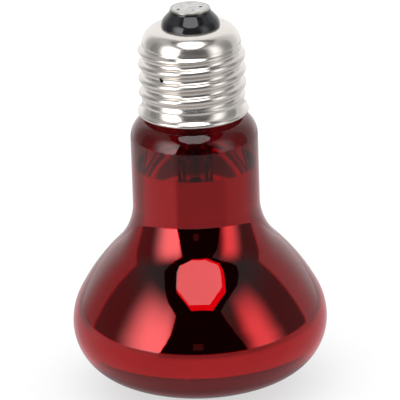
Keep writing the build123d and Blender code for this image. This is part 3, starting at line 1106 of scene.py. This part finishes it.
def add_apron(name, outer, finish, seen_by):
    """A flat disc on the table, as one face."""
    turn = np.linspace(0, 2 * pi, apron_columns, endpoint=False)
    points = np.stack([outer * np.cos(turn), outer * np.sin(turn), 0 * turn + apron_height], axis=1)
    return add_card(name, points.tolist(), [tuple(range(len(points)))], finish, seen_by)


for name, levels, rays in (("surface_table", surface_table, SURFACE), ("depth_table", depth_table, DEPTH)):
    add_apron(name, apron_outer, apron_glow(name, levels), (rays,))

# %% Pale table
table_half = 3.0
table_drop = 0.00005
table_white = 0.6

pale = {"Base Color": (0.9, 0.9, 0.9, 1), "Roughness": 0.5, "Specular IOR Level": 0.2}
table_finish, table_tree, table_shader = new_finish("pale_table", pale)
camera_ray = add_node(table_tree, "ShaderNodeLightPath").outputs["Is Camera Ray"]
white = add_node(table_tree, "ShaderNodeEmission", {"Color": (1, 1, 1, 1), "Strength": 1.0})
share = combine(table_tree, "MULTIPLY", camera_ray, table_white)
mixed = {0: share, 1: table_shader.outputs["BSDF"], 2: white.outputs["Emission"]}
shown = add_node(table_tree, "ShaderNodeMixShader", mixed)
table_tree.links.new(shown.outputs["Shader"], table_tree.nodes["Material Output"].inputs["Surface"])
table_finish.cycles.emission_sampling = "NONE"
table_mesh = bpy.data.meshes.new("table")
signs = ((-1, -1), (1, -1), (1, 1), (-1, 1))
table_corners = [(x * table_half, y * table_half, -table_drop) for x, y in signs]
table_mesh.from_pydata(table_corners, [], [(0, 1, 2, 3)])
table_mesh.materials.append(table_finish)
table = bpy.data.objects.new("table", table_mesh)
bpy.context.scene.collection.objects.link(table)
print("table is", 2 * table_half, "m wide")

# %% White world
fill_strength = 1.3

world = bpy.data.worlds.new("studio")
bpy.context.scene.world = world
world.use_nodes = True
world_tree = world.node_tree
path = add_node(world_tree, "ShaderNodeLightPath").outputs
rays = [path["Is Camera Ray"], path["Is Glossy Ray"], path["Is Transmission Ray"]]
seen = combine(world_tree, "MAXIMUM", *rays)
levels = {"Value": seen, "To Min": fill_strength, "To Max": 1.0}
brightness = add_node(world_tree, "ShaderNodeMapRange", levels)
background = world_tree.nodes["Background"]
background.inputs["Color"].default_value = (1, 1, 1, 1)
world_tree.links.new(brightness.outputs["Result"], background.inputs["Strength"])

# %% Soft light above
light_place = (-0.25, -0.35, 0.9)
light_target = (0, 0, 0.035)
light_size = 0.7
light_energy = 0.6

key = bpy.data.lights.new("overhead_light", "AREA")
key.shape = "DISK"
key.size = light_size
key.energy = light_energy
key_object = bpy.data.objects.new("overhead_light", key)
key_object.location = light_place
key_object.rotation_euler = (Vector(light_target) - Vector(light_place)).to_track_quat("-Z", "Y").to_euler()
key_object.visible_glossy = False
key_object.visible_transmission = False
bpy.context.scene.collection.objects.link(key_object)
cards = [piece.name for piece in bpy.context.scene.objects if not piece.visible_camera]
print("studio cards:", cards)

# %% [markdown]
# ## The camera
#
# A long lens from more than a metre away, looking down by 21 degrees. The lamp leans a little to the
# left in the picture because the camera was turned, not because the lamp tilts, so the turn is on the
# camera.

# %% Camera
camera_distance = 1.2
camera_elevation = radians(21)
camera_roll = radians(1.89)
lens_pixels = 4868.25
image_pixels = 400
sensor_width = 36.0
aim_height = 0.045
aim_pixels = (3.25, -11.888)

camera_data = bpy.data.cameras.new("camera")
camera_data.sensor_width = sensor_width
camera_data.lens = lens_pixels / image_pixels * sensor_width
camera = bpy.data.objects.new("camera", camera_data)
bpy.context.scene.collection.objects.link(camera)
bpy.context.scene.camera = camera
backward = Vector((0, -cos(camera_elevation), sin(camera_elevation)))
upward = Vector((0, sin(camera_elevation), cos(camera_elevation)))
sideways = Vector((1, 0, 0))
roll = Matrix.Rotation(-camera_roll, 3, backward)
picture_right = roll @ sideways
picture_up = roll @ upward
look = (-backward * lens_pixels + picture_right * aim_pixels[0] - picture_up * aim_pixels[1]).normalized()
right = look.cross(picture_up).normalized()
rotation = Matrix((right, right.cross(look), -look)).transposed()
place = Vector((0, 0, aim_height)) + camera_distance * backward
camera.matrix_world = Matrix.Translation(place) @ rotation.to_4x4()
bpy.context.scene.view_settings.view_transform = "Standard"
